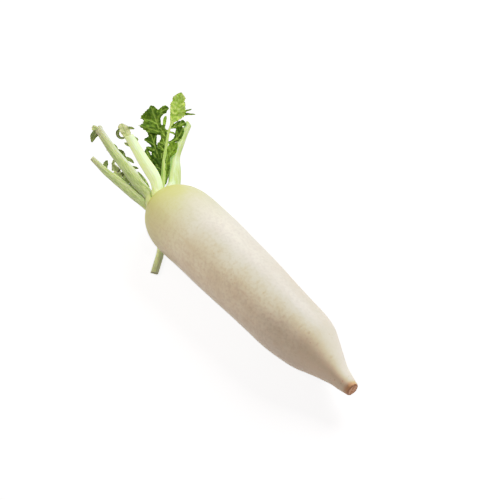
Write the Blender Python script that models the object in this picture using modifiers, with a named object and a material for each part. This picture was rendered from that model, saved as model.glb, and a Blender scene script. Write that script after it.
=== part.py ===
"""A white radish lying on its side: a long root, cut leaf stalks at its crown and one toothed leaf.

Run it in Blender 4.5 with blender --background --python part.py, or from the text editor.
Sizes and places below are in millimetres, and the meshes are made in metres, +Z up. The origin is
on the small flat that the root rests on. The crown is at -X and the cut tip at +X.
"""
import math

import bmesh
import bpy
import numpy as np

MM = 0.001
CURVE_SAMPLES = 16
MERGE_DISTANCE = 0.00001

# The root: its length, where the crown lies, and its radius at distances from the crown.
ROOT_LENGTH = 302.0
CROWN_X = -140.0
ROOT_RADII = [
    (0, 18.0), (3, 22.4), (8, 27.2), (15, 32.0), (25, 35.9), (38, 38.1), (60, 38.2), (100, 37.3),
    (140, 35.8), (180, 34.2), (205, 32.8), (225, 31.1), (242, 28.2), (256, 22.7), (270, 16.7),
    (283, 11.6), (293, 9.3), (302, 7.0),
]
ROOT_RINGS = 46
ROOT_STEPS = 48
TIP_BEVEL = 1.0
CUTTER_DEPTH = 20.0

# The root's centre line: it sinks towards the tip, bows to one side, and turns a little at the tip.
AXIS_HEIGHT = 35.4
AXIS_LEVEL_AT = 125.0
AXIS_SLOPE = -0.036
SIDE_SHIFT = -3.0
SIDE_BOW = 4.6
TIP_TURN_FROM = 200.0
TIP_TURN_OVER = 100.0
TIP_TURN_SIDE = 4.5
TIP_TURN_DOWN = -3.0
TIP_BOW = 2.8
TIP_BOW_FROM = 190.0
TIP_BOW_OVER = 110.0

# The root is a little out of round, by a share of its radius that grows from the crown on.
OUT_OF_ROUND = 0.010
OUT_OF_ROUND_WAVE = 70.0

# Stalks stand this far off the crown and start straight. A cross-section has its sides, the share
# of its thickness that lies on its back, how square its front is (1 is round, less is squarer),
# and the depth of the channel along the front, with how sharply the channel starts.
CROWN_GAP = 0.3
STRAIGHT_START = 3.0
STALK_SIDES = 14
STALK_STATIONS = 18
BACK_SHARE = 0.62
FRONT_ROUNDNESS = 0.6
CHANNEL = 0.32
CHANNEL_SHARPNESS = 4
TURN_DONE_AT = 0.4

# A blade's half thickness, how far its teeth point forward, and its cupping and waves, as shares of
# its half width. Blades with a half width of more than WIDE_BLADE have more cells across.
BLADE_HALF = 0.35
WIDE_BLADE = 2.5
TOOTH_SWEEP = 0.35
CUPPING = 0.20
WAVING = 0.14
WAVES_PER_LOBE = 2.2
WAVE_SHIFT = 0.25

# The direction that the leaf's upper face looks in.
LEAF_FACE = (0.50, -0.44, 0.74)

# Each stalk: its place on the crown (distance from the middle, and angle from +Y towards +Z), the
# route of its middle line after its base, its width and thickness from base to end at even steps,
# and how far its broad side turns on the way. The leaf is a stalk that thins into a midrib.
STALKS = {
    "leafstalk_1": {
        "ring": 13.0, "clock": 211,
        "route": [(-153, -13.4, 34), (-176, -16.2, 37.7), (-199, -21.8, 42.6), (-214, -25.4, 46),
                  (-233, -29, 52)],
        "width": (10.4, 13.6, 12.4, 10.6, 6.4), "thick": (9.0, 12.4, 12.0, 10.0, 6.0), "turn": 0,
    },
    "leafstalk_2": {
        "ring": 13.0, "clock": 160,
        "route": [(-152, -10, 45.5), (-168, -11.8, 50.5), (-186, -13.2, 59.6), (-208, -16.4, 72.2),
                  (-232, -17.8, 86.6)],
        "width": (10.8, 14.8, 11.6, 9.6, 9.8), "thick": (7.6, 10.6, 9.0, 8.0, 7.6), "turn": 0,
    },
    "leafstalk_3": {
        "ring": 12.8, "clock": 104,
        "route": [(-146.8, -2.8, 54.4), (-156, 0.2, 61.4), (-172.4, -1.4, 74.4), (-185, -2.6, 86),
                  (-195, -3.6, 95.2)],
        "width": (11.2, 13.2, 12.2, 11.0, 9.8), "thick": (7.2, 8.4, 8.4, 8.0, 7.2), "turn": 0,
    },
    "leafstalk_4": {
        "ring": 12.6, "clock": 28,
        "route": [(-149, 19.6, 46), (-159.6, 28.6, 53.5), (-171.7, 38, 60), (-177.5, 48.5, 67.5),
                  (-183, 58, 72), (-190, 69.6, 77)],
        "width": (12.8, 15.0, 10.8, 7.8, 7.4, 7.4), "thick": (7.2, 7.8, 6.8, 6.4, 6.2, 6.0), "turn": -50,
    },
    "leafstalk_5": {
        "ring": 11.8, "clock": 276,
        "route": [(-150, -5, 18), (-147, -8, 8), (-134, -12, 4.5), (-112, -26, 3.8), (-89, -50, 3.8)],
        "width": (9.6, 8.8, 9.2, 8.8, 8.8), "thick": (5.8, 5.2, 5.0, 5.0, 4.8), "turn": 0,
    },
    "leaf": {
        "ring": 0.6, "clock": 60,
        "route": [(-154, 8, 50), (-164, 17, 57), (-173, 25, 63), (-180, 32, 68), (-187, 39, 74),
                  (-193, 46, 79), (-199, 55, 83), (-203, 66, 88), (-210, 75, 97)],
        "width": (5.4, 5.8, 5.4, 4.0, 2.4, 1.8, 1.4), "thick": (5.2, 5.2, 4.8, 3.6, 2.4, 1.6, 1.4),
        "turn": 0,
    },
}

# The lobes of the leaf, and the scraps of leaf left on the cut stalks. Each one starts at a place:
# its share of the way along the stalk, and its distance to the left of the stalk's middle line. It
# has an angle from the stalk's own direction in the leaf's face (minus to the right), a length, a
# sideways bend, the lift of its tip out of the leaf's face, and then the half widths to its left and
# to its right, at even steps from its foot to its tip: these draw the teeth.
LOBES = {
    "leaf": [
        # The long upper lobe, with its two teeth, and the one that crosses it.
        (0.52, 0, 27, 50, 0, 10, (1.6, 4.3, 4.8, 1.6, 1.1, 13.4, 16.6, 19.8, 14.6, 12.4, 14.8, 11.0, 7.0,
                                  2.7, 0.4),
         (1.6, 2.1, 2.7, 3.8, 4.8, 5.9, 7.0, 2.1, 1.3, 4.2, 7.5, 6.6, 4.6, 3.4, 0.4)),
        (0.67, 0.4, 95, 39, -165, -8, (1.1, 1.1, 1.3, 1.7, 2.4, 2.8, 3.7, 4.3, 3.7, 4.1, 0.6),
         (1.1, 1.3, 1.5, 2.2, 3.0, 2.8, 3.9, 4.1, 4.7, 2.8, 0.6)),
        # The two dark lobes under it, and the small curled one behind the next stalk.
        (0.29, 0, 22, 55, 0, -6, (5.9, 7.5, 9.9, 8.5, 7.5, 6.4, 5.3, 3.7, 3.8, 6.2, 9.2, 3.2, 3.2, 4.3,
                                  1.1),
         (0.5, 1.1, 2.1, 3.2, 4.8, 6.4, 5.3, 1.3, 1.9, 3.2, 4.8, 6.9, 6.4, 4.3, 1.1)),
        (0.21, 0, 9, 45, 0, -12, (1.1, 4.3, 6.4, 6.9, 7.4, 7.4, 6.9, 5.8, 4.8, 1.1, 0.4),
         (0.5, 1.1, 1.1, 1.6, 2.1, 2.7, 3.2, 4.3, 5.3, 5.3, 3.2)),
        (0.37, 12.0, 38, 17, -16, 10, (1.6, 3.0, 3.4, 3.4, 2.6, 0.6), (1.6, 2.1, 1.9, 1.9, 1.5, 0.5)),
        (0.48, 11.6, 73, 10, 10, 10, (2.4, 2.8, 2.8, 2.2, 0.5), (1.6, 1.6, 1.6, 1.5, 0.5)),
        (0.70, 6.5, 1, 13, 0, 8, (1.3, 1.6, 2.0, 1.8, 0.4), (1.3, 1.3, 1.1, 1.1, 0.4)),
        # The broad lobe at the top right, and its two threads.
        (0.69, 0, -6, 43, 0, 12, (0.9, 0.9, 1.7, 3.0, 4.1, 5.2, 6.5, 7.5, 6.5, 7.3, 5.4, 3.2, 0.4),
         (0.6, 1.3, 2.2, 7.5, 10.2, 10.8, 10.2, 8.8, 8.1, 5.9, 6.2, 3.2, 0.4)),
        (0.86, 0, -44, 16, 0, 8, (1.2, 1.2, 1.1, 0.6, 0.5), (1.2, 1.2, 1.1, 0.6, 0.5)),
        (0.85, 0, -58, 20, -8, 8, (1.2, 1.2, 1.2, 0.7, 0.5), (1.2, 1.2, 1.2, 0.7, 0.5)),
        # The short lobes on the right, between the midrib and the next stalk.
        (0.70, -0.5, -65, 18, 20, -10, (1.1, 3.4, 3.9, 4.5, 3.7, 4.1, 0.5),
         (0.9, 1.5, 2.2, 3.9, 2.4, 3.7, 0.5)),
        (0.56, -1.4, -71, 25, 70, 4, (1.3, 1.6, 2.1, 3.6, 5.6, 6.6, 6.6, 6.0, 0.5),
         (1.3, 1.7, 2.1, 2.6, 3.2, 3.0, 2.6, 1.5, 0.5)),
        (0.66, 0, -77, 10, -60, -10, (1.0, 0.8, 0.8, 0.6, 0.5), (1.0, 0.8, 0.8, 0.6, 0.5)),
        (0.40, -2.0, -31, 22, 0, 30, (1.1, 4.3, 5.3, 6.4, 6.9, 4.3, 0.5),
         (0.5, 1.6, 3.2, 4.3, 3.2, 2.1, 0.4)),
        (0.17, -2.7, 2, 34, 0, 0, (0.5, 1.5, 1.7, 1.7, 1.3, 0.5), (1.6, 2.8, 3.4, 3.4, 3.0, 0.5)),
        # Three folds that overlap the dark lobes along the midrib's left side.
        (0.34, 0.2, 49, 18, -14, 16, (1.3, 3.2, 4.5, 4.9, 5.5, 3.6, 0.5),
         (1.1, 2.1, 3.4, 2.8, 3.6, 2.1, 0.5)),
        (0.47, -0.4, 48, 14, -10, 12, (1.1, 2.1, 2.8, 3.6, 2.1, 0.5), (1.1, 2.6, 3.2, 2.6, 1.7, 0.5)),
        (0.59, -0.2, 44, 15, -14, 10, (1.1, 2.6, 3.4, 2.8, 3.0, 0.5), (1.1, 2.1, 3.7, 2.4, 2.8, 0.5)),
    ],
    "leafstalk_1": [
        (0.78, -1.5, -15, 10, -84, 20, (1.4, 2.4, 2.6, 1.7, 0.5), (1.4, 2.2, 2.4, 1.5, 0.5)),
        (0.56, -1.6, -34, 22, 22, 12, (1.7, 2.6, 3.2, 3.4, 2.8, 1.7, 0.5),
         (1.5, 2.2, 2.8, 3.2, 2.5, 1.5, 0.5)),
        (0.67, -0.9, -78, 10, -60, 14, (1.2, 1.5, 1.7, 1.5, 0.5), (1.2, 1.4, 1.6, 1.4, 0.5)),
        (0.59, -1.9, -78, 10, -40, 10, (1.3, 1.7, 1.5, 1.6, 0.5), (1.3, 1.6, 1.7, 1.5, 0.5)),
        (0.51, -1.3, -47, 13, -26, -8, (1.5, 2.6, 2.1, 2.4, 1.3, 0.5), (1.5, 2.1, 2.6, 1.7, 1.3, 0.5)),
        (0.47, -0.1, -58, 12, -10, 10, (1.5, 2.1, 2.6, 1.7, 0.5), (1.5, 2.6, 2.1, 1.7, 0.5)),
        (0.71, -3.6, -60, 12, 0, 20, (1.2, 1.3, 1.2, 1.3, 0.5), (1.2, 1.1, 1.1, 1.2, 0.5)),
        (0.24, -0.5, -9, 26, 0, -10, (0.9, 1.1, 1.1, 1.1, 1.1, 1.1, 0.5),
         (1.5, 3.6, 4.1, 3.4, 4.1, 3.0, 0.5)),
    ],
    "leafstalk_2": [
        (0.99, 1.8, 105, 14, 24, -10, (2.6, 3.4, 2.6, 1.9, 1.3, 0.5), (2.2, 4.0, 4.4, 3.2, 1.8, 0.5)),
        (0.99, 1.7, 25, 8, -30, 20, (1.9, 3.0, 3.2, 2.1, 0.5), (1.9, 2.8, 2.6, 1.7, 0.5)),
        (0.98, 1.8, -58, 7, 0, 20, (1.7, 2.6, 2.3, 0.5), (1.5, 2.3, 2.1, 0.5)),
        (0.59, -4.4, -9, 13, 24, 10, (1.0, 1.3, 1.5, 1.3, 0.5), (1.6, 3.0, 3.4, 2.4, 0.5)),
        (0.61, -4.0, -150, 13, -16, 8, (1.5, 2.2, 2.3, 1.8, 0.5), (1.1, 1.1, 1.0, 0.8, 0.5)),
        (0.50, -1.8, -129, 11, -16, 10, (1.1, 1.3, 1.3, 1.0, 0.5), (1.1, 1.3, 1.1, 1.0, 0.5)),
        (0.78, 0.9, 105, 5, 0, 10, (1.3, 1.4, 1.1, 0.5), (1.3, 1.4, 1.1, 0.5)),
        (0.70, -3.8, -6, 10, 14, 12, (0.9, 1.1, 1.1, 0.5), (1.0, 1.7, 1.5, 0.5)),
        (0.19, -4.5, -6, 23, 0, 0, (1.1, 1.3, 1.3, 1.1, 1.1, 0.5), (1.3, 1.9, 2.1, 1.9, 1.5, 0.5)),
    ],
    "leafstalk_3": [
        (0.97, 1.7, -8, 17, 6, 0, (4.0, 4.0, 4.6, 4.8, 4.6, 1.7), (4.4, 4.8, 4.8, 4.6, 2.7, 0.8)),
        (1.14, 4.4, 87, 17, 200, 6, (1.4, 1.6, 1.7, 1.4, 1.2, 1.0, 0.9, 0.8, 0.6),
         (1.3, 1.6, 1.7, 1.5, 1.2, 1.0, 0.9, 0.8, 0.6)),
        (1.12, -0.9, -113, 10, -24, 12, (1.0, 1.3, 1.3, 0.5), (1.0, 1.3, 1.0, 0.5)),
        (0.96, -1.9, -136, 8, -20, 12, (1.2, 1.5, 1.4, 0.5), (1.2, 1.4, 1.2, 0.5)),
        (0.86, 4.2, 29, 7, 0, 12, (1.1, 1.3, 1.2, 0.5), (1.1, 1.2, 1.1, 0.5)),
    ],
}

ROOT_COLOUR = (0.80, 0.74, 0.62)
STALK_COLOUR = (0.45, 0.58, 0.18)
LEAF_COLOUR = (0.09, 0.20, 0.03)
ROOT_ROUGHNESS = 0.45
GREEN_ROUGHNESS = 0.4
SHARP_EDGE_DEGREES = 40


def unit(vector):
    """The vector at length one."""
    return vector / np.linalg.norm(vector)


def centre_line(s):
    """The root's centre at the distance s from the crown."""
    past = max(s - TIP_TURN_FROM, 0) / TIP_TURN_OVER
    y = SIDE_SHIFT + SIDE_BOW * math.sin(math.pi * s / ROOT_LENGTH) + TIP_TURN_SIDE * past ** 2
    y += TIP_BOW * math.sin(math.pi * min(max(s - TIP_BOW_FROM, 0) / TIP_BOW_OVER, 1)) ** 2
    z = AXIS_HEIGHT + AXIS_SLOPE * (s - AXIS_LEVEL_AT) + TIP_TURN_DOWN * past ** 2
    return np.array([CROWN_X + s, y, z])


def smooth_curve(points, count):
    """A smooth curve through the points, as count places evenly spaced along it."""
    points = np.asarray(points, float)
    knots = np.vstack([2 * points[0] - points[1], points, 2 * points[-1] - points[-2]])
    dense = []
    for a, b, c, d in zip(knots, knots[1:], knots[2:], knots[3:]):
        for t in np.linspace(0, 1, CURVE_SAMPLES, endpoint=False):
            dense.append(b + (c - a) * t / 2 + (2 * a - 5 * b + 4 * c - d) * t ** 2 / 2
                         + (3 * b - a - 3 * c + d) * t ** 3 / 2)
    dense = np.array(dense + [points[-1]])
    run = np.append(0, np.cumsum(np.linalg.norm(np.diff(dense, axis=0), axis=1)))
    even = np.linspace(0, run[-1], count)
    return np.stack([np.interp(even, run, values) for values in dense.T], axis=-1)


def spread(values, count):
    """The values, taken as evenly placed, read at count places by a smooth curve."""
    return smooth_curve(list(enumerate(values)), count)[:, 1]


def new_collection(name):
    """A collection in the scene."""
    collection = bpy.data.collections.new(name)
    bpy.context.scene.collection.children.link(collection)
    return collection


def mesh_object(name, vertices, faces, collection):
    """An object from vertices in millimetres, with its faces turned outward."""
    mesh = bpy.data.meshes.new(name)
    mesh.from_pydata([tuple(MM * c for c in v) for v in vertices], [], faces)
    shape = bmesh.new()
    shape.from_mesh(mesh)
    bmesh.ops.recalc_face_normals(shape, faces=shape.faces)
    shape.to_mesh(mesh)
    shape.free()
    thing = bpy.data.objects.new(name, mesh)
    collection.objects.link(thing)
    return thing


def apply_modifiers(thing):
    """Replaces an object's mesh by the one that its modifiers make."""
    bpy.context.view_layer.update()
    evaluated = thing.evaluated_get(bpy.context.evaluated_depsgraph_get())
    before = thing.data
    thing.data = bpy.data.meshes.new_from_object(evaluated)
    thing.modifiers.clear()
    bpy.data.meshes.remove(before)
    thing.data.name = thing.name


def turned_body(name, collection):
    """The root upright: its outline, from the crown down to the bevelled tip, turned about Z."""
    knots = np.array(ROOT_RADII)
    side = smooth_curve(knots * (-1, 1), ROOT_RINGS)[:, ::-1]
    radius, depth = side[-1]
    outline = [(0, 0), *side[:-1], (radius, depth + TIP_BEVEL), (radius - TIP_BEVEL, depth), (0, depth)]
    mesh = bpy.data.meshes.new(name)
    mesh.from_pydata([(MM * r, 0, MM * z) for r, z in outline],
                     [(i, i + 1) for i in range(len(outline) - 1)], [])
    body = bpy.data.objects.new(name, mesh)
    collection.objects.link(body)
    screw = body.modifiers.new("turn", "SCREW")
    screw.steps = screw.render_steps = ROOT_STEPS
    screw.use_merge_vertices = True
    screw.merge_threshold = MERGE_DISTANCE
    apply_modifiers(body)
    return body


def lay_down(body):
    """Lays the upright root along its centre line, a little out of round."""
    for vertex in body.data.vertices:
        up, across, s = vertex.co.x / MM, vertex.co.y / MM, -vertex.co.z / MM
        around = math.atan2(up, across)
        amount = OUT_OF_ROUND * min(2 * s / ROOT_LENGTH, 1)
        grown = 1 + amount * math.sin(2 * around + s / OUT_OF_ROUND_WAVE)
        vertex.co = (centre_line(s) + np.array([0, across, up]) * grown) * MM


def cut_rest(body, cutters):
    """Cuts the small flat that the root rests on."""
    bpy.ops.mesh.primitive_cube_add(size=1)
    block = bpy.context.object
    block.name = "rest_cutter"
    block.scale = (2 * ROOT_LENGTH * MM, ROOT_LENGTH * MM, CUTTER_DEPTH * MM)
    block.location.z = -CUTTER_DEPTH / 2 * MM
    bpy.ops.object.transform_apply(location=False, rotation=False, scale=True)
    block.users_collection[0].objects.unlink(block)
    cutters.objects.link(block)
    block.hide_render = True
    block.display_type = "WIRE"
    cut = body.modifiers.new("rest", "BOOLEAN")
    cut.operation = "DIFFERENCE"
    cut.object = block
    cut.solver = "EXACT"


def root(name, collection, cutters):
    """The root, in one piece from the crown's disc to the cut tip."""
    body = turned_body(name, collection)
    lay_down(body)
    cut_rest(body, cutters)
    return body


def stalk_frames(spec):
    """A stalk's middle line and, at each station of it, its direction, broad side and back."""
    outward = np.array([-1.0, 0, 0])
    clock = math.radians(spec["clock"])
    from_middle = np.array([0, math.cos(clock), math.sin(clock)])
    side = np.array([0, -math.sin(clock), math.cos(clock)])
    base = centre_line(0) + from_middle * spec["ring"] + outward * CROWN_GAP
    lead = base + outward * STRAIGHT_START
    centres = smooth_curve([base, lead, *spec["route"]], STALK_STATIONS)
    headings = [unit(step) for step in np.gradient(centres, axis=0)]
    headings[0] = outward
    sides, backs = [], []
    for i, heading in enumerate(headings):
        side = unit(side - heading * (side @ heading))
        turn = math.radians(spec["turn"]) * min(i / (STALK_STATIONS - 1) / TURN_DONE_AT, 1)
        across = np.cross(heading, side)
        sides.append(side * math.cos(turn) + across * math.sin(turn))
        backs.append(across * math.cos(turn) - side * math.sin(turn))
    outside = 1 if backs[0] @ from_middle > 0 else -1
    return centres, headings, sides, [back * outside for back in backs]


def stalk_section(width, thick):
    """A stalk's cross-section: rounded on its back, flatter with a shallow channel in front."""
    points = []
    for i in range(STALK_SIDES):
        angle = 2 * math.pi * i / STALK_SIDES
        rise = math.sin(angle)
        depth = thick * BACK_SHARE * rise
        if rise < 0:
            channel = CHANNEL * rise ** CHANNEL_SHARPNESS
            depth = thick * (1 - BACK_SHARE) * (channel - abs(rise) ** FRONT_ROUNDNESS)
        points.append((width / 2 * math.cos(angle), depth))
    return points


def stalk(name, spec, collection):
    """One leaf stalk, a loft through sections that run from a broad base to a narrow end."""
    centres, _, sides, backs = stalk_frames(spec)
    widths = spread(spec["width"], STALK_STATIONS)
    thicks = spread(spec["thick"], STALK_STATIONS)
    vertices = []
    for centre, side, back, width, thick in zip(centres, sides, backs, widths, thicks):
        vertices += [centre + side * x + back * y for x, y in stalk_section(width, thick)]
    faces = []
    for ring in range(STALK_STATIONS - 1):
        for i in range(STALK_SIDES):
            a, b = ring * STALK_SIDES + i, ring * STALK_SIDES + (i + 1) % STALK_SIDES
            faces.append((a, b, b + STALK_SIDES, a + STALK_SIDES))
    last = (STALK_STATIONS - 1) * STALK_SIDES
    faces.append(range(STALK_SIDES))
    faces.append(range(last, last + STALK_SIDES))
    return mesh_object(name, vertices, faces, collection)


def lobe(name, place, heading, face, shape, collection):
    """One thin toothed blade that starts at a place and bends as it goes."""
    length, bend, lift, left_widths, right_widths = shape
    cells = len(left_widths) - 1
    wide = max(left_widths + right_widths) > WIDE_BLADE
    shares = (-1, -0.5, 0, 0.5, 1) if wide else (-1, 0, 1)
    rows = []
    for i in range(cells + 1):
        t = i / cells
        left = np.cross(face, heading)
        row = []
        for v in shares:
            half = left_widths[i] if v > 0 else right_widths[i]
            wave = math.sin(2 * math.pi * (t * WAVES_PER_LOBE + WAVE_SHIFT * (v > 0)))
            rise = half * (CUPPING * v * v * t + WAVING * abs(v) * wave)
            point = place + left * half * v + heading * abs(v) * half * TOOTH_SWEEP + face * rise
            row.append((point, face * BLADE_HALF))
        rows.append(row)
        step_bend, step_lift = math.radians(bend) / cells, math.radians(lift) / cells
        heading = heading * math.cos(step_bend) + left * math.sin(step_bend)
        heading, face = (heading * math.cos(step_lift) + face * math.sin(step_lift),
                         face * math.cos(step_lift) - heading * math.sin(step_lift))
        place = place + heading * length / cells
    return blade(name, rows, collection)


def blade(name, rows, collection):
    """A closed blade from rows of places and half thicknesses, with both faces split alike."""
    wide = len(rows[0])
    upper = [point + half for row in rows for point, half in row]
    lower = [point - half for row in rows for point, half in row]
    under = len(upper)
    faces = []
    for i in range(len(rows) - 1):
        for j in range(wide - 1):
            a = i * wide + j
            for corners in ((a, a + 1, a + wide + 1), (a, a + wide + 1, a + wide)):
                faces.append(corners)
                faces.append([under + k for k in reversed(corners)])
    last = (len(rows) - 1) * wide
    rim = [*range(wide), *range(2 * wide - 1, last, wide), *range(last + wide - 1, last, -1),
           *range(last, 0, -wide)]
    for a, b in zip(rim, rim[1:] + rim[:1]):
        faces += [(a, b, under + b), (a, under + b, under + a)]
    return mesh_object(name, upper + lower, faces, collection)


def drop_loose_scraps(thing):
    """Keeps only the largest connected body of a mesh."""
    shape = bmesh.new()
    shape.from_mesh(thing.data)
    unseen = set(shape.verts)
    bodies = []
    while unseen:
        reached = {unseen.pop()}
        edge_of_search = list(reached)
        while edge_of_search:
            vertex = edge_of_search.pop()
            found = {edge.other_vert(vertex) for edge in vertex.link_edges} - reached
            reached |= found
            edge_of_search += found
        unseen -= reached
        bodies.append(reached)
    bodies.sort(key=len)
    for body in bodies[:-1]:
        bmesh.ops.delete(shape, geom=list(body), context="VERTS")
    shape.to_mesh(thing.data)
    shape.free()


def join_repeats(body, repeats):
    """Fuses a collection's objects into the body with one Boolean union, and removes them."""
    union = body.modifiers.new("join", "BOOLEAN")
    union.operation = "UNION"
    union.operand_type = "COLLECTION"
    union.collection = repeats
    union.solver = "EXACT"
    union.use_self = True
    apply_modifiers(body)
    for thing in list(repeats.objects):
        bpy.data.objects.remove(thing)
    bpy.data.collections.remove(repeats)
    drop_loose_scraps(body)


def leafy_stalk(name, spec, lobes, collection):
    """A stalk with the lobes or scraps of its blade fused to it, in one piece."""
    body = stalk(name, spec, collection)
    if not lobes:
        return body
    centres, headings, _, _ = stalk_frames(spec)
    repeats = new_collection(name + "_lobes")
    for number, (along, aside, angle, *shape) in enumerate(lobes):
        place = along * (STALK_STATIONS - 1)
        i = min(int(place), STALK_STATIONS - 2)
        start = centres[i] + (centres[i + 1] - centres[i]) * (place - i)
        face = np.array(LEAF_FACE)
        face = unit(face - headings[i] * (face @ headings[i]))
        left = np.cross(face, headings[i])
        turn = math.radians(angle)
        heading = headings[i] * math.cos(turn) + left * math.sin(turn)
        lobe(f"{name}_lobe_{number}", start + left * aside, heading, face, shape, repeats)
    join_repeats(body, repeats)
    return body


def colour(thing, rgb, roughness):
    """Gives an object its own plain material and smooth shading."""
    material = bpy.data.materials.new(thing.name)
    material.use_nodes = True
    shader = material.node_tree.nodes["Principled BSDF"]
    shader.inputs["Base Color"].default_value = (*rgb, 1)
    shader.inputs["Roughness"].default_value = roughness
    shader.inputs["Metallic"].default_value = 0
    thing.data.materials.clear()
    thing.data.materials.append(material)
    thing.data.shade_smooth()
    thing.data.set_sharp_from_angle(angle=math.radians(SHARP_EDGE_DEGREES))


def main():
    for thing in list(bpy.data.objects):
        bpy.data.objects.remove(thing)
    radish = new_collection("radish")
    cutters = new_collection("cutters")
    colour(root("root", radish, cutters), ROOT_COLOUR, ROOT_ROUGHNESS)
    for name, spec in STALKS.items():
        made = leafy_stalk(name, spec, LOBES.get(name), radish)
        colour(made, LEAF_COLOUR if name == "leaf" else STALK_COLOUR, GREEN_ROUGHNESS)


main()
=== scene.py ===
"""A fresh white radish on a light table: its skin, its cut leaf stalks and its one torn leaf.

Sizes and places are in millimetres, and turn into metres where a piece is made. The camera, the
lights and the table are in metres. The crown is at -X, the cut tip at +X, and the root rests on
Z = 0.
"""
import math
import random

import bpy
import numpy as np
from mathutils import Matrix, Vector, noise


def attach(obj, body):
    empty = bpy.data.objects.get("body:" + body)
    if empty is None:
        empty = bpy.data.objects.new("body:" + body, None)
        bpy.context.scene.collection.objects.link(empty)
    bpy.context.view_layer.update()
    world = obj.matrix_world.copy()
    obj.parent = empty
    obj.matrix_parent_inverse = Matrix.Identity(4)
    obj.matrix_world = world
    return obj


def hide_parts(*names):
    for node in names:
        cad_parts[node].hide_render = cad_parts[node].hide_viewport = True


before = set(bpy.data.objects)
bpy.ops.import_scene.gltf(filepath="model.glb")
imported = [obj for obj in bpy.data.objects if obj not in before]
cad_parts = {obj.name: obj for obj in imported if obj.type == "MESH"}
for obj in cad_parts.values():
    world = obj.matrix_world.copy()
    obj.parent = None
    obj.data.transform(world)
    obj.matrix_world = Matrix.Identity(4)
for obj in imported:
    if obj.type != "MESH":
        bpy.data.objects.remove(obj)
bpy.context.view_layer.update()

BODY = "root"
MM = 0.001

# The root, with the same named values as its solid.
ROOT_LENGTH = 302.0
CROWN_X = -140.0
ROOT_RADII = [
    (0, 18.0), (3, 22.4), (8, 27.2), (15, 32.0), (25, 35.9), (38, 38.1), (60, 38.2), (100, 37.3),
    (140, 35.8), (180, 34.2), (205, 32.8), (225, 31.1), (242, 28.2), (256, 22.7), (270, 16.7),
    (283, 11.6), (293, 9.3), (302, 7.0),
]
CROWN_RADIUS = ROOT_RADII[0][1]
TIP_RADIUS = ROOT_RADII[-1][1]
AXIS_HEIGHT = 35.4
AXIS_LEVEL_AT = 125.0
AXIS_SLOPE = -0.036
SIDE_SHIFT = -3.0
SIDE_BOW = 4.6
TIP_TURN_FROM = 200.0
TIP_TURN_OVER = 100.0
TIP_TURN_SIDE = 4.5
TIP_TURN_DOWN = -3.0
TIP_BOW = 2.8
TIP_BOW_FROM = 190.0
TIP_BOW_OVER = 110.0
OUT_OF_ROUND = 0.010
OUT_OF_ROUND_WAVE = 70.0

# How finely the root and the smooth curves are made.
ROOT_RINGS = 400
ROOT_STEPS = 216
CROWN_RINGS = 26
TIP_RINGS = 10
CURVE_STEPS = 32

# The crown's dome, and the broken rings that its fallen leaves left on it.
CROWN_DOME = 2.4
CROWN_EDGE = 6.0
CROWN_MIDDLE = (2.0, 6.0)
SCAR_RINGS = 3
SCAR_RING_HEIGHT = 0.45
SCAR_RING_WOBBLE = 2.2
SCAR_RING_WOBBLE_SIZE = 6.0
SCAR_RING_BREAKS = 5
SCAR_RING_EVENNESS = 0.6
# How strongly shade is painted, in the scars' brown, in the hollows between the rings.
SCAR_RING_PAINTED_SHADE = 0.55

# The broad unevenness of the flesh, as the size and the height of its bumps, and where it
# starts and ends, as distances from the crown.
UNEVEN = ((58.0, 0.55), (21.0, 0.20), (7.0, 0.05))
RELIEF_STARTS = (-2.0, 14.0)
RELIEF_ENDS = (ROOT_LENGTH + 1, ROOT_LENGTH - 3)

# The shallow growth creases. Their reach around the root is in radians, and each one fades out
# from a share of its reach.
CREASES = 58
CREASE_SEED = 11
CREASE_FADE = 0.4
CREASES_FROM, CREASES_TO = 12, 292
CREASE_REACH = (0.2, 0.7)
CREASE_DEPTH = (0.02, 0.09)
CREASE_WIDTH = (1.2, 2.6)
CREASE_LEAN = (-1.5, 1.5)

# The slits that the side roots left, in two rows. The rows and their sway are in degrees. The
# lip's place and breadth go by the slit's own size, and so does the scar's spread.
SLIT_ROWS = (108.0, 286.0)
SLIT_SEED = 5
SLIT_SWAY = 5
SLIT_FROM, SLIT_TO = 46.0, 290.0
SLIT_FIRST = (0, 8)
SLIT_REACH = (1.4, 3.2)
SLIT_WIDTH = (0.8, 1.2)
SLIT_DEPTH = (0.07, 0.20)
SLIT_GAP = (9, 22)
SLIT_LIP = 0.35
SLIT_LIP_AT, SLIT_LIP_BREADTH = 2, 0.6
SLIT_SCAR = 0.2
SLIT_SCAR_SPREAD = 0.8

# The tip's bevelled edge with a ring on it, as shares of it along and inwards, the height and
# size of the bumps on its rough face and on its torn rim, and how wide the rim is dried dark.
TIP_BEVEL = 1.0
BEVEL_RING = (0.6, 0.3)
TIP_RELIEF = 0.5
TIP_RELIEF_SIZE = 2.6
TIP_TEAR = 0.25
TIP_TEAR_SIZE = 3.0
TIP_TEAR_OVER = 4.0
DARK_RIM = (2.4, 1.0)

# Stalks: the shape of their cross-section, how finely they are made, and their small forms.
CROWN_GAP = 0.3
STRAIGHT_START = 3.0
BACK_SHARE = 0.62
FRONT_ROUNDNESS = 0.6
CHANNEL = 0.32
CHANNEL_SHARPNESS = 4
TURN_DONE_AT = 0.4
PLACING_STATIONS = 18
STALK_STATIONS = 130
STALK_SIDES = 64
SUNK = 1.6
FLARE = 0.10
FLARE_OVER = 0.05
RIBS = 17
RIB_HEIGHT = 0.022
RIBS_FADE = (-0.2, 0.3)
STALK_UNEVEN = 0.035
STALK_BUMPS = (0.4, 0.4, 1.2)
STALK_SEED = 10.0
LOBE_SEED = 100

# A stalk's end: where its slanted cut starts, where it starts to dry and where its foot's colour
# ends, as shares of its length, and the cut's rings, as shares of its width and how far they
# stand out.
SLANT_FROM = 0.93
DRY_FROM = 0.7
FOOT_TO = 0.20
CUT_RINGS = ((0.93, 0.15), (0.82, -0.25), (0.5, -0.6), (0.2, -0.45))

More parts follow.
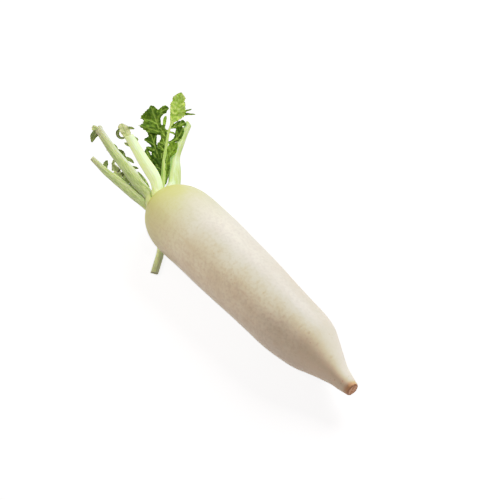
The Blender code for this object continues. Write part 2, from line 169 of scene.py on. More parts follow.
# Each stalk's cut: how far it slants and how dry it is.
CUTS = {
    "leafstalk_1": (0.3, 0.7), "leafstalk_2": (-0.3, 0.9), "leafstalk_3": (0.2, 0.3),
    "leafstalk_4": (0.5, 0.1), "leafstalk_5": (-0.4, 0.6), "leaf": (0.0, 0.0),
}

# Blades, first the named values that they share with their solids.
TOOTH_SWEEP = 0.35
CUPPING = 0.20
WAVING = 0.14
WAVES_PER_LOBE = 2.2
WAVE_SHIFT = 0.25
LEAF_FACE = (0.50, -0.44, 0.74)

# How finely the blades are made, half their thickness, how much thinner they get towards the
# edge and the tip, and the torn margin around them.
ROWS_PER_CELL = 10
BLADE_COLUMNS = 24
BLADE_HALF = 0.24
EDGE_THINNING = 0.6
TIP_THINNING = 0.4
MARGIN = 0.45

# The veins: the middle one's half width and how much it fades towards the tip, how far and how
# broadly the side ones reach, in cells, how they curve and fade, how strong they are and from
# which half width of the blade, how deep they all lie, and how much it swells between them.
MID_VEIN = 0.55
MID_VEIN_FADE = 0.5
VEIN_REACH = 2.2
VEIN_SPREAD = 0.28
VEIN_CURVE = 0.8
SIDE_VEIN_FADE = 0.6
SIDE_VEINS = 0.8
SIDE_VEINS_FULL = 3.0
VEIN_SINK = 0.28
SWELL = 0.25
SWELL_SPREAD = 1.2

# The blades' small forms: notches in the edge, ruffles along it, and crumples all over.
NOTCHES = 0.05
NOTCH_RATE = 2.6
RUFFLE = 0.07
RUFFLE_RATE = 0.9
CRUMPLE = 0.8
CRUMPLE_SCALE = 3.2

# Where the root's colours change: from the frame's middle, along the root and, for the buff on
# the +Y side, across it too. Clouds shift the places, and the side that faced the light has its
# green further along.
SHOULDER_GREEN = (-128.0, -28.0)
CROWN_GREEN = (-128.0, -112.0)
SIDE_BUFF_ACROSS = (10.0, 30.0)
SIDE_BUFF_ALONG = (-30.0, 50.0)
TIP_PAINTED_LIGHT = (85.0, 150.0)
TIP_BROWN = (156.0, 161.5)
CLOUD_SHIFT = 30.0
LIGHTWARD_LEAN = -0.35

# The skins' patterns: how far it is from one cloud, streak, grain, pore, wrinkle or strand to
# the next one, and how long the streaks and wrinkles are.
CLOUD_GAP = 25.0
STREAK_GAP, STREAK_LENGTH = 3.03, 62.5
GRAIN_GAP = 3.125
PORE_GAP, PORE_PATCH_GAP = 3.85, 18.2
PORE_DEPTH = 0.8
WRINKLE_GAP, WRINKLE_LENGTH = 1.61, 8.33
TIP_STRAND_GAP = 2.38
STRAND_GAP, FINE_STRAND_GAP = 0.909, 0.294
STRAND_STRETCH = 14
PITH_DOT_GAP = 0.77
LEAF_MOTTLE_GAP = 3.33
MOTTLE_STRENGTH = 1.5
SMALL_VEIN_GAP = 1.43

# Each stalk, with the same values as its solid: how far from the crown's middle it stands and at
# which angle round it, the places it runs through, its widths and thicknesses from its foot to
# its end, and how far it turns about itself, in degrees.
STALKS = {
    "leafstalk_1": {
        "ring": 13.0, "clock": 211,
        "route": [(-153, -13.4, 34), (-176, -16.2, 37.7), (-199, -21.8, 42.6), (-214, -25.4, 46),
                  (-233, -29, 52)],
        "width": (10.4, 13.6, 12.4, 10.6, 6.4), "thick": (9.0, 12.4, 12.0, 10.0, 6.0), "turn": 0,
    },
    "leafstalk_2": {
        "ring": 13.0, "clock": 160,
        "route": [(-152, -10, 45.5), (-168, -11.8, 50.5), (-186, -13.2, 59.6), (-208, -16.4, 72.2),
                  (-232, -17.8, 86.6)],
        "width": (10.8, 14.8, 11.6, 9.6, 9.8), "thick": (7.6, 10.6, 9.0, 8.0, 7.6), "turn": 0,
    },
    "leafstalk_3": {
        "ring": 12.8, "clock": 104,
        "route": [(-146.8, -2.8, 54.4), (-156, 0.2, 61.4), (-172.4, -1.4, 74.4), (-185, -2.6, 86),
                  (-195, -3.6, 95.2)],
        "width": (11.2, 13.2, 12.2, 11.0, 9.8), "thick": (7.2, 8.4, 8.4, 8.0, 7.2), "turn": 0,
    },
    "leafstalk_4": {
        "ring": 12.6, "clock": 28,
        "route": [(-149, 19.6, 46), (-159.6, 28.6, 53.5), (-171.7, 38, 60), (-177.5, 48.5, 67.5),
                  (-183, 58, 72), (-190, 69.6, 77)],
        "width": (12.8, 15.0, 10.8, 7.8, 7.4, 7.4), "thick": (7.2, 7.8, 6.8, 6.4, 6.2, 6.0), "turn": -50,
    },
    "leafstalk_5": {
        "ring": 11.8, "clock": 276,
        "route": [(-150, -5, 18), (-147, -8, 8), (-134, -12, 4.5), (-112, -26, 3.8), (-89, -50, 3.8)],
        "width": (9.6, 8.8, 9.2, 8.8, 8.8), "thick": (5.8, 5.2, 5.0, 5.0, 4.8), "turn": 0,
    },
    "leaf": {
        "ring": 0.6, "clock": 60,
        "route": [(-154, 8, 50), (-164, 17, 57), (-173, 25, 63), (-180, 32, 68), (-187, 39, 74),
                  (-193, 46, 79), (-199, 55, 83), (-203, 66, 88), (-210, 75, 97)],
        "width": (5.4, 5.8, 5.4, 4.0, 2.4, 1.8, 1.4), "thick": (5.2, 5.2, 4.8, 3.6, 2.4, 1.6, 1.4),
        "turn": 0,
    },
}

# Each lobe or scrap: its place along the stalk and to its left, its angle from it, its length, bend
# and lift, and its half widths to the left and to the right from its foot to its tip.
LOBES = {
    "leaf": [
        # The long upper lobe, with its two teeth, and the one that crosses it.
        (0.52, 0, 27, 50, 0, 10, (1.6, 4.3, 4.8, 1.6, 1.1, 13.4, 16.6, 19.8, 14.6, 12.4, 14.8, 11.0, 7.0,
                                  2.7, 0.4),
         (1.6, 2.1, 2.7, 3.8, 4.8, 5.9, 7.0, 2.1, 1.3, 4.2, 7.5, 6.6, 4.6, 3.4, 0.4)),
        (0.67, 0.4, 95, 39, -165, -8, (1.1, 1.1, 1.3, 1.7, 2.4, 2.8, 3.7, 4.3, 3.7, 4.1, 0.6),
         (1.1, 1.3, 1.5, 2.2, 3.0, 2.8, 3.9, 4.1, 4.7, 2.8, 0.6)),
        # The two lobes under it, darkened as painted shade, and the small curled one behind the next
        # stalk.
        (0.29, 0, 22, 55, 0, -6, (5.9, 7.5, 9.9, 8.5, 7.5, 6.4, 5.3, 3.7, 3.8, 6.2, 9.2, 3.2, 3.2, 4.3,
                                  1.1),
         (0.5, 1.1, 2.1, 3.2, 4.8, 6.4, 5.3, 1.3, 1.9, 3.2, 4.8, 6.9, 6.4, 4.3, 1.1)),
        (0.21, 0, 9, 45, 0, -12, (1.1, 4.3, 6.4, 6.9, 7.4, 7.4, 6.9, 5.8, 4.8, 1.1, 0.4),
         (0.5, 1.1, 1.1, 1.6, 2.1, 2.7, 3.2, 4.3, 5.3, 5.3, 3.2)),
        (0.37, 12.0, 38, 17, -16, 10, (1.6, 3.0, 3.4, 3.4, 2.6, 0.6), (1.6, 2.1, 1.9, 1.9, 1.5, 0.5)),
        (0.48, 11.6, 73, 10, 10, 10, (2.4, 2.8, 2.8, 2.2, 0.5), (1.6, 1.6, 1.6, 1.5, 0.5)),
        (0.70, 6.5, 1, 13, 0, 8, (1.3, 1.6, 2.0, 1.8, 0.4), (1.3, 1.3, 1.1, 1.1, 0.4)),
        # The broad lobe at the top right, painted light where light comes through it, and its two threads.
        (0.69, 0, -6, 43, 0, 12, (0.9, 0.9, 1.7, 3.0, 4.1, 5.2, 6.5, 7.5, 6.5, 7.3, 5.4, 3.2, 0.4),
         (0.6, 1.3, 2.2, 7.5, 10.2, 10.8, 10.2, 8.8, 8.1, 5.9, 6.2, 3.2, 0.4)),
        (0.86, 0, -44, 16, 0, 8, (1.2, 1.2, 1.1, 0.6, 0.5), (1.2, 1.2, 1.1, 0.6, 0.5)),
        (0.85, 0, -58, 20, -8, 8, (1.2, 1.2, 1.2, 0.7, 0.5), (1.2, 1.2, 1.2, 0.7, 0.5)),
        # The short lobes on the right, between the midrib and the next stalk.
        (0.70, -0.5, -65, 18, 20, -10, (1.1, 3.4, 3.9, 4.5, 3.7, 4.1, 0.5),
         (0.9, 1.5, 2.2, 3.9, 2.4, 3.7, 0.5)),
        (0.56, -1.4, -71, 25, 70, 4, (1.3, 1.6, 2.1, 3.6, 5.6, 6.6, 6.6, 6.0, 0.5),
         (1.3, 1.7, 2.1, 2.6, 3.2, 3.0, 2.6, 1.5, 0.5)),
        (0.66, 0, -77, 10, -60, -10, (1.0, 0.8, 0.8, 0.6, 0.5), (1.0, 0.8, 0.8, 0.6, 0.5)),
        (0.40, -2.0, -31, 22, 0, 30, (1.1, 4.3, 5.3, 6.4, 6.9, 4.3, 0.5),
         (0.5, 1.6, 3.2, 4.3, 3.2, 2.1, 0.4)),
        (0.17, -2.7, 2, 34, 0, 0, (0.5, 1.5, 1.7, 1.7, 1.3, 0.5), (1.6, 2.8, 3.4, 3.4, 3.0, 0.5)),
        # Three folds that overlap the dark lobes along the midrib's left side.
        (0.34, 0.2, 49, 18, -14, 16, (1.3, 3.2, 4.5, 4.9, 5.5, 3.6, 0.5),
         (1.1, 2.1, 3.4, 2.8, 3.6, 2.1, 0.5)),
        (0.47, -0.4, 48, 14, -10, 12, (1.1, 2.1, 2.8, 3.6, 2.1, 0.5), (1.1, 2.6, 3.2, 2.6, 1.7, 0.5)),
        (0.59, -0.2, 44, 15, -14, 10, (1.1, 2.6, 3.4, 2.8, 3.0, 0.5), (1.1, 2.1, 3.7, 2.4, 2.8, 0.5)),
    ],
    "leafstalk_1": [
        (0.78, -1.5, -15, 10, -84, 20, (1.4, 2.4, 2.6, 1.7, 0.5), (1.4, 2.2, 2.4, 1.5, 0.5)),
        (0.56, -1.6, -34, 22, 22, 12, (1.7, 2.6, 3.2, 3.4, 2.8, 1.7, 0.5),
         (1.5, 2.2, 2.8, 3.2, 2.5, 1.5, 0.5)),
        (0.67, -0.9, -78, 10, -60, 14, (1.2, 1.5, 1.7, 1.5, 0.5), (1.2, 1.4, 1.6, 1.4, 0.5)),
        (0.59, -1.9, -78, 10, -40, 10, (1.3, 1.7, 1.5, 1.6, 0.5), (1.3, 1.6, 1.7, 1.5, 0.5)),
        (0.51, -1.3, -47, 13, -26, -8, (1.5, 2.6, 2.1, 2.4, 1.3, 0.5), (1.5, 2.1, 2.6, 1.7, 1.3, 0.5)),
        (0.47, -0.1, -58, 12, -10, 10, (1.5, 2.1, 2.6, 1.7, 0.5), (1.5, 2.6, 2.1, 1.7, 0.5)),
        (0.71, -3.6, -60, 12, 0, 20, (1.2, 1.3, 1.2, 1.3, 0.5), (1.2, 1.1, 1.1, 1.2, 0.5)),
        (0.24, -0.5, -9, 26, 0, -10, (0.9, 1.1, 1.1, 1.1, 1.1, 1.1, 0.5),
         (1.5, 3.6, 4.1, 3.4, 4.1, 3.0, 0.5)),
    ],
    "leafstalk_2": [
        (0.99, 1.8, 105, 14, 24, -10, (2.6, 3.4, 2.6, 1.9, 1.3, 0.5), (2.2, 4.0, 4.4, 3.2, 1.8, 0.5)),
        (0.99, 1.7, 25, 8, -30, 20, (1.9, 3.0, 3.2, 2.1, 0.5), (1.9, 2.8, 2.6, 1.7, 0.5)),
        (0.98, 1.8, -58, 7, 0, 20, (1.7, 2.6, 2.3, 0.5), (1.5, 2.3, 2.1, 0.5)),
        (0.59, -4.4, -9, 13, 24, 10, (1.0, 1.3, 1.5, 1.3, 0.5), (1.6, 3.0, 3.4, 2.4, 0.5)),
        (0.61, -4.0, -150, 13, -16, 8, (1.5, 2.2, 2.3, 1.8, 0.5), (1.1, 1.1, 1.0, 0.8, 0.5)),
        (0.50, -1.8, -129, 11, -16, 10, (1.1, 1.3, 1.3, 1.0, 0.5), (1.1, 1.3, 1.1, 1.0, 0.5)),
        (0.78, 0.9, 105, 5, 0, 10, (1.3, 1.4, 1.1, 0.5), (1.3, 1.4, 1.1, 0.5)),
        (0.70, -3.8, -6, 10, 14, 12, (0.9, 1.1, 1.1, 0.5), (1.0, 1.7, 1.5, 0.5)),
        (0.19, -4.5, -6, 23, 0, 0, (1.1, 1.3, 1.3, 1.1, 1.1, 0.5), (1.3, 1.9, 2.1, 1.9, 1.5, 0.5)),
    ],
    "leafstalk_3": [
        (0.97, 1.7, -8, 17, 6, 0, (4.0, 4.0, 4.6, 4.8, 4.6, 1.7), (4.4, 4.8, 4.8, 4.6, 2.7, 0.8)),
        (1.14, 4.4, 87, 17, 200, 6, (1.4, 1.6, 1.7, 1.4, 1.2, 1.0, 0.9, 0.8, 0.6),
         (1.3, 1.6, 1.7, 1.5, 1.2, 1.0, 0.9, 0.8, 0.6)),
        (1.12, -0.9, -113, 10, -24, 12, (1.0, 1.3, 1.3, 0.5), (1.0, 1.3, 1.0, 0.5)),
        (0.96, -1.9, -136, 8, -20, 12, (1.2, 1.5, 1.4, 0.5), (1.2, 1.4, 1.2, 0.5)),
        (0.86, 4.2, 29, 7, 0, 12, (1.1, 1.3, 1.2, 0.5), (1.1, 1.2, 1.1, 0.5)),
    ],
}

# How much lighter than the rest each lobe or scrap is: partly their own colour, and partly painted
# light and shade, lighter where light comes through a lobe and darker where a lobe lies in shade.
TINTS_WITH_PAINTED_LIGHT = {
    "leaf": (0.05, 0.1, -0.15, -0.2, -0.05, -0.05, 0.5, 1.0, 0.1, 0.1, 0.0, 0.0, 0.3, 0.3, 0.15, -0.1,
             0.0, 0.0),
    "leafstalk_1": (0.3, 1.1, -0.3, -0.3, 0.9, 0.4, 1.2, 0.3),
    "leafstalk_2": (0.3, 1.3, 0.8, 0.0, 0.5, 0.2, 1.0, 0.7, 1.0),
    "leafstalk_3": (1.3, 0.1, 0.5, 0.3, 0.9),
}

# The camera stands where the photograph was taken from.
CAMERA_AZIMUTH = 52.38
CAMERA_ELEVATION = 46.0
CAMERA_PLACE = (0.63282, -0.48067, 0.90295)
LENS = 85.0

# A large soft key light from the far right, a spot that opens up the shade on the crown, a spot
# on the stalks, and a weak warm fill from all around.
LIGHTS = {
    "key": {
        "kind": "AREA", "place": (-0.55, 1.56, 1.46), "aim": (0, 0, 0), "colour": "#FFFFFF",
        "energy": 60.0, "size": 1.15,
    },
    "crown_spot": {
        "kind": "SPOT", "place": (-0.35, -0.60, 0.80), "aim": (-0.105, -0.02, 0.06),
        "colour": "#FFF6E8", "energy": 18.5, "spot_size": math.radians(28), "spot_blend": 1.0,
        "shadow_soft_size": 0.08,
    },
    "stalk_spot": {
        "kind": "SPOT", "place": (0.327, -0.046, 0.94), "aim": (-0.188, 0.004, 0.084),
        "colour": "#FFFFFF", "energy": 26.0, "spot_size": math.radians(13), "spot_blend": 1.0,
        "shadow_soft_size": 0.08,
    },
}
FILL = 0.385
FILL_COLOUR = "#FFE7E4"
TABLE_HALF = 9.0
TABLE_GLOW = 1.15

# The print: how much light turns pure white, and the tones that lesser lights turn to.
WHITE_AT = 1.4
HIGHLIGHT_TONES = ((0.30, 0.30), (0.62, 0.62), (0.95, 0.78))
ALL_COLOURS_CURVE = 3


def srgb(code):
    """A hex colour as linear light."""
    values = [int(code[i:i + 2], 16) / 255 for i in (1, 3, 5)]
    return (*[v / 12.92 if v <= 0.04045 else ((v + 0.055) / 1.055) ** 2.4 for v in values], 1)


def unit(vector):
    """The vector at length one."""
    return vector / np.linalg.norm(vector)


def smoothstep(low, high, x):
    """Rises smoothly from 0 at low to 1 at high."""
    t = np.clip((x - low) / (high - low), 0, 1)
    return t * t * (3 - 2 * t)


def rough(points, scale, seed=0.0):
    """Soft noise from -1 to 1 at each of the points, with bumps about as long as the scale."""
    flat = np.asarray(points, float).reshape(-1, 3) / scale + seed
    return np.array([noise.noise(Vector(p)) for p in flat]).reshape(np.shape(points)[:-1])


def centre_line(s):
    """The root's centre at the distances s from the crown."""
    s = np.asarray(s, float)
    past = np.maximum(s - TIP_TURN_FROM, 0) / TIP_TURN_OVER
    y = SIDE_SHIFT + SIDE_BOW * np.sin(np.pi * s / ROOT_LENGTH) + TIP_TURN_SIDE * past ** 2
    y += TIP_BOW * np.sin(np.pi * np.clip((s - TIP_BOW_FROM) / TIP_BOW_OVER, 0, 1)) ** 2
    z = AXIS_HEIGHT + AXIS_SLOPE * (s - AXIS_LEVEL_AT) + TIP_TURN_DOWN * past ** 2
    return np.stack([CROWN_X + s, y, z], axis=-1)


def smooth_curve(points, count):
    """A smooth curve through the points, as count places evenly spaced along it."""
    points = np.asarray(points, float)
    knots = np.vstack([2 * points[0] - points[1], points, 2 * points[-1] - points[-2]])
    dense = []
    for a, b, c, d in zip(knots, knots[1:], knots[2:], knots[3:]):
        for t in np.linspace(0, 1, CURVE_STEPS, endpoint=False):
            dense.append(b + (c - a) * t / 2 + (2 * a - 5 * b + 4 * c - d) * t ** 2 / 2
                         + (3 * b - a - 3 * c + d) * t ** 3 / 2)
    dense = np.array(dense + [points[-1]])
    run = np.append(0, np.cumsum(np.linalg.norm(np.diff(dense, axis=0), axis=1)))
    even = np.linspace(0, run[-1], count)
    return np.stack([np.interp(even, run, values) for values in dense.T], axis=-1)


def spread(values, count):
    """The values, taken as evenly placed, read at count places by a smooth curve."""
    return smooth_curve(list(enumerate(values)), count)[:, 1]


def join_rings(first, second, count):
    """The faces between two rings of count vertices that start at the first and the second."""
    turns = [(j, (j + 1) % count) for j in range(count)]
    return [(first + j, first + k, second + k, second + j) for j, k in turns]


def make_piece(name, vertices, faces, materials, marks=None, face_materials=None):
    """A smooth-shaded object from vertices in millimetres, with values marked on its vertices."""
    mesh = bpy.data.meshes.new(name)
    mesh.from_pydata((np.asarray(vertices) * MM).tolist(), [], faces)
    for material in materials:
        mesh.materials.append(material)
    if face_materials is not None:
        mesh.polygons.foreach_set("material_index", face_materials)
    for mark, values in (marks or {}).items():
        values = np.asarray(values, np.float32)
        kind, field = ("FLOAT", "value") if values.ndim == 1 else ("FLOAT_VECTOR", "vector")
        attribute = mesh.attributes.new(mark, kind, "POINT")
        attribute.data.foreach_set(field, values.ravel())
    mesh.shade_smooth()
    piece = bpy.data.objects.new(name, mesh)
    bpy.context.scene.collection.objects.link(piece)
    return piece


def new_material(name):
    """An empty material with its Principled shader."""
    material = bpy.data.materials.new(name)
    material.use_nodes = True
    tree = material.node_tree
    return material, tree, tree.nodes["Principled BSDF"]


def fill_inputs(tree, node, inputs):
    """Links or sets the inputs of a node, given by their names or numbers, or in their order."""
    for socket, value in inputs.items() if isinstance(inputs, dict) else enumerate(inputs):
        if isinstance(value, bpy.types.NodeSocket):
            tree.links.new(value, node.inputs[socket])
        else:
            node.inputs[socket].default_value = value


def add_node(tree, kind, inputs=(), **settings):
    """Adds a node to a material with its settings, and fills or links its inputs."""
    made = tree.nodes.new(kind)
    for name, value in settings.items():
        setattr(made, name, value)
    fill_inputs(tree, made, inputs)
    return made


def coats(tree, ground, layers):
    """Lays coats of colour over a first one, each as thick as its value says, from 0 to 1.

    Where a span follows the value, the coat grows smoothly over it: from the span's first number
    to its second, and from no coat to a full one, or from the third number to the fourth.
    """
    colour = srgb(ground)
    for coat, value, *span in layers:
        if span:
            value = add_node(tree, "ShaderNodeMapRange", (value, *span),
                             interpolation_type="SMOOTHSTEP").outputs[0]
        colour = add_node(tree, "ShaderNodeMix", {0: value, 6: colour, 7: srgb(coat)},
                          data_type="RGBA").outputs[2]
    return colour


def place_in_mm(tree):
    """Places on the piece in millimetres, for patterns with real sizes."""
    metres = add_node(tree, "ShaderNodeTexCoord").outputs["Object"]
    per_metre = (1 / MM, 1 / MM, 1 / MM)
    return add_node(tree, "ShaderNodeMapping", {"Vector": metres, "Scale": per_metre}).outputs[0]


def pore_specks(tree, place):
    """Pores: specks 0.4 mm wide, drawn at 1.4 mm so that they show, and in some patches only."""
    pores = add_node(tree, "ShaderNodeTexVoronoi", {"Vector": place, "Scale": 1 / PORE_GAP})
    patches = add_node(tree, "ShaderNodeTexNoise",
                       {"Vector": place, "Scale": 1 / PORE_PATCH_GAP, "Detail": 2.0})
    speck = add_node(tree, "ShaderNodeMapRange", (pores.outputs["Distance"], 0.10, 0.26, 1.0, 0.0),
                     interpolation_type="SMOOTHSTEP").outputs[0]
    patch = add_node(tree, "ShaderNodeMapRange", (patches.outputs["Fac"], 0.52, 0.66, 0.0, 0.5),
                     interpolation_type="SMOOTHSTEP").outputs[0]
    return add_node(tree, "ShaderNodeMath", (speck, patch), operation="MULTIPLY").outputs[0]


def root_colour(tree, place, streaks, specks):
    """The root's colour, coat by coat from the cream of its flesh to its scars and painted shade."""
    along, across, _ = add_node(tree, "ShaderNodeSeparateXYZ", {0: place}).outputs
    clouds = add_node(tree, "ShaderNodeTexNoise",
                      {"Vector": place, "Scale": 1 / CLOUD_GAP, "Detail": 3.0}).outputs["Fac"]
    grains = add_node(tree, "ShaderNodeTexNoise", {
        "Vector": place, "Scale": 1 / GRAIN_GAP, "Detail": 3.0, "Roughness": 0.6}).outputs["Fac"]
    shifted = add_node(tree, "ShaderNodeMath", (clouds, CLOUD_SHIFT, along),
                       operation="MULTIPLY_ADD").outputs[0]
    lightward = add_node(tree, "ShaderNodeMath", (across, LIGHTWARD_LEAN, shifted),
                         operation="MULTIPLY_ADD").outputs[0]
    buff_across = add_node(tree, "ShaderNodeMapRange", (across, *SIDE_BUFF_ACROSS, 0.0, 0.75),
                           interpolation_type="SMOOTHSTEP").outputs[0]
    buff_along = add_node(tree, "ShaderNodeMapRange", (along, *SIDE_BUFF_ALONG),
                             interpolation_type="SMOOTHSTEP").outputs[0]
    side_buff = add_node(tree, "ShaderNodeMath", (buff_across, buff_along),
                      operation="MULTIPLY").outputs[0]
    scars = add_node(tree, "ShaderNodeAttribute", attribute_name="scar").outputs["Fac"]
    return coats(tree, "#DCD9C4", [
        # Warmer clouds, tan streaks and grey mottling.
        ("#D5D0B9", clouds, 0.35, 0.68),
        ("#C9BE9F", streaks, 0.52, 0.80, 0.0, 0.5),
        ("#C3BCA5", grains, 0.42, 0.66, 0.0, 0.45),
        # Green where the shoulder stood out of the soil, and further on the side that faced the light.
        ("#AFB364", lightward, *SHOULDER_GREEN, 1.0, 0.0),
        ("#A6A956", shifted, *CROWN_GREEN, 0.75, 0.0),
        # Buff on the +Y side of the tip half, paler cream towards the tip, and brown at the tip.
        ("#C8BA96", side_buff),
        # The paler cream near the tip is painted light that brightens its lit strip.
        ("#F1EACC", shifted, *TIP_PAINTED_LIGHT, 0.0, 0.6),
        ("#CDA67A", along, *TIP_BROWN),
        ("#C3AF8A", specks),
        # The scars' brown also paints the shade in the hollows between the crown's rings.
        ("#A0805A", scars),
    ])


def daikon_skin():
    """Washed daikon skin, thin and moist over white flesh: light sinks in, so shade stays soft.

    It is creamy white, green where the shoulder stood out of the soil, buff on its +Y side, and painted
    paler near the tip.
    """
    material, tree, shader = new_material("daikon_skin")
    place = place_in_mm(tree)
    # Streaks run along the root, and fine wrinkles of the thin skin run around it.
    long_way = add_node(tree, "ShaderNodeMapping", {
        "Vector": place, "Scale": (1 / STREAK_LENGTH, 1 / STREAK_GAP, 1 / STREAK_GAP)}).outputs[0]
    streaks = add_node(tree, "ShaderNodeTexNoise", {
        "Vector": long_way, "Scale": 1.0, "Detail": 4.0, "Roughness": 0.6}).outputs["Fac"]
    round_way = add_node(tree, "ShaderNodeMapping", {
        "Vector": place, "Scale": (1 / WRINKLE_GAP, 1 / WRINKLE_LENGTH, 1 / WRINKLE_LENGTH)})
    wrinkles = add_node(tree, "ShaderNodeTexNoise",
                        {"Vector": round_way.outputs[0], "Scale": 1.0, "Detail": 3.0})
    specks = pore_specks(tree, place)
    height = add_node(tree, "ShaderNodeMath", (specks, -PORE_DEPTH, wrinkles.outputs["Fac"]),
                      operation="MULTIPLY_ADD")
    gloss = add_node(tree, "ShaderNodeMapRange", (streaks, 0.3, 0.75, 0.42, 0.56),
                     interpolation_type="SMOOTHSTEP")
    bump = add_node(tree, "ShaderNodeBump",
                    {"Height": height.outputs[0], "Strength": 0.25, "Distance": 0.2 * MM})
    fill_inputs(tree, shader, {
        "Base Color": root_colour(tree, place, streaks, specks),
        "Normal": bump.outputs[0],
        "Roughness": gloss.outputs[0],
        "IOR": 1.40,
        "Specular IOR Level": 0.35,
        "Subsurface Weight": 0.45,
        "Subsurface Radius": (1.0, 0.80, 0.70),
        "Subsurface Scale": 6 * MM,
    })
    return material


def tip_cut():
    """The cut face at the tip, dried brown, with woody strands in the middle."""
    material, tree, shader = new_material("dried_tip_cut")
    strands = add_node(tree, "ShaderNodeTexNoise", {
        "Vector": place_in_mm(tree), "Scale": 1 / TIP_STRAND_GAP, "Detail": 4.0,
        "Roughness": 0.65}).outputs["Fac"]
    rim = add_node(tree, "ShaderNodeAttribute", attribute_name="scar").outputs["Fac"]
    bump = add_node(tree, "ShaderNodeBump", {"Height": strands, "Strength": 0.6, "Distance": 0.6 * MM})
    fill_inputs(tree, shader, {
        "Base Color": coats(tree, "#CE9054", [("#FFDDB4", strands, 0.38, 0.62), ("#A8744A", rim)]),
        "Normal": bump.outputs[0],
        "Roughness": 0.7,
    })
    return material


def petiole_skin(name, pale, deep, base):
    """Crisp leaf stalk under a thin waxy skin: fine pale strands run its whole length.

    The grain holds millimetres across the stalk, and is drawn out along it.
    """
    material, tree, shader = new_material(name)
    grain = add_node(tree, "ShaderNodeAttribute", attribute_name="grain").outputs["Vector"]
    strands = add_node(tree, "ShaderNodeTexNoise", {
        "Vector": grain, "Scale": 1 / STRAND_GAP, "Detail": 3.0, "Roughness": 0.55}).outputs["Fac"]
    fine = add_node(tree, "ShaderNodeTexNoise",
                    {"Vector": grain, "Scale": 1 / FINE_STRAND_GAP, "Detail": 2.0}).outputs["Fac"]
    foot = add_node(tree, "ShaderNodeAttribute", attribute_name="foot").outputs["Fac"]
    dry = add_node(tree, "ShaderNodeAttribute", attribute_name="dry").outputs["Fac"]
    bump = add_node(tree, "ShaderNodeBump", {"Height": fine, "Strength": 0.35, "Distance": 0.2 * MM})
    fill_inputs(tree, shader, {
        "Base Color": coats(tree, deep, [(pale, strands, 0.36, 0.64),
                                         ("#EDF6D2", fine, 0.5, 0.72, 0.0, 0.35),
                                         (base, foot),
                                         ("#AFB68E", dry)]),
        "Normal": bump.outputs[0],
        "Roughness": 0.38,
        "IOR": 1.42,
        "Subsurface Weight": 0.35,
        "Subsurface Radius": (0.7, 1.0, 0.25),
        "Subsurface Scale": 3 * MM,
    })
    return material


def petiole_cut():
    """A cut across a stalk: damp pale pith, dotted with the darker ends of its strands."""
    material, tree, shader = new_material("petiole_cut")
    grain = add_node(tree, "ShaderNodeAttribute", attribute_name="grain").outputs["Vector"]
    strands = add_node(tree, "ShaderNodeTexVoronoi", {"Vector": grain, "Scale": 1 / PITH_DOT_GAP})
    from_strand = strands.outputs["Distance"]
    fill_inputs(tree, shader, {
        "Base Color": coats(tree, "#B7BF92", [("#8F9A62", from_strand, 0.18, 0.40, 1.0, 0.0)]),
        "Roughness": 0.6,
    })
    return material


def leaf_blade(name, dark, light, pale, vein):
    """Rough thin leaf: dark green between pale sunken veins, and painted lighter where light comes
    through.
    """
    material, tree, shader = new_material(name)
    grain = add_node(tree, "ShaderNodeAttribute", attribute_name="grain").outputs["Vector"]
    mottle = add_node(tree, "ShaderNodeTexNoise", {
        "Vector": grain, "Scale": 1 / LEAF_MOTTLE_GAP, "Detail": 4.0, "Roughness": 0.6})
    # Each lobe's tint is partly its own colour and partly painted light and shade.
    tint_with_painted_light = add_node(tree, "ShaderNodeAttribute", attribute_name="tint_with_painted_light").outputs["Fac"]
    lightness = add_node(tree, "ShaderNodeMath", (mottle.outputs["Fac"], MOTTLE_STRENGTH, tint_with_painted_light),
                         operation="MULTIPLY_ADD").outputs[0]
    veins = add_node(tree, "ShaderNodeAttribute", attribute_name="vein").outputs["Fac"]
    net = add_node(tree, "ShaderNodeTexVoronoi", {"Vector": grain, "Scale": 1 / SMALL_VEIN_GAP},
                   feature="DISTANCE_TO_EDGE")
    swollen = add_node(tree, "ShaderNodeMapRange", (net.outputs[0], 0.0, 0.25),
                       interpolation_type="SMOOTHSTEP")
    bump = add_node(tree, "ShaderNodeBump",
                    {"Height": swollen.outputs[0], "Strength": 0.25, "Distance": 0.3 * MM})
    fill_inputs(tree, shader, {
        "Base Color": coats(tree, dark, [(light, lightness, 0.55, 1.55),
                                         (pale, lightness, 1.45, 2.2),
                                         (vein, veins)]),
        "Normal": bump.outputs[0],
        "Roughness": 0.6,
        "IOR": 1.42,
        "Specular IOR Level": 0.08,
        "Subsurface Weight": 0.25,
        "Subsurface Radius": (0.6, 1.0, 0.2),
        "Subsurface Scale": 1.5 * MM,
    })
    return material


def light_table():
    """An opal glass table top, lit evenly from below, so that shadows on it stay faint."""
    material, tree, shader = new_material("opal_glass_light_table")
    fill_inputs(tree, shader, {
        "Base Color": srgb("#959595"),
        "Emission Color": srgb("#FFFFFF"),
        "Emission Strength": TABLE_GLOW,
        "Roughness": 0.9,
        "Specular IOR Level": 0.1,
    })
    return material


def growth_creases(s, around):
    """Shallow creases that run part of the way round the root, as depth in millimetres."""
    draw = random.Random(CREASE_SEED)
    depth = np.zeros_like(s)
    for _ in range(CREASES):
        at, middle = draw.uniform(CREASES_FROM, CREASES_TO), draw.uniform(0, 2 * math.pi)
        reach, deep, wide = [draw.uniform(*span) for span in (CREASE_REACH, CREASE_DEPTH, CREASE_WIDTH)]
        lean = draw.uniform(*CREASE_LEAN)
        off = np.angle(np.exp(1j * (around - middle)))
        fade = smoothstep(reach, reach * CREASE_FADE, np.abs(off))
        depth += deep * fade * np.exp(-((s - at - lean * off) / wide) ** 2)
    return depth


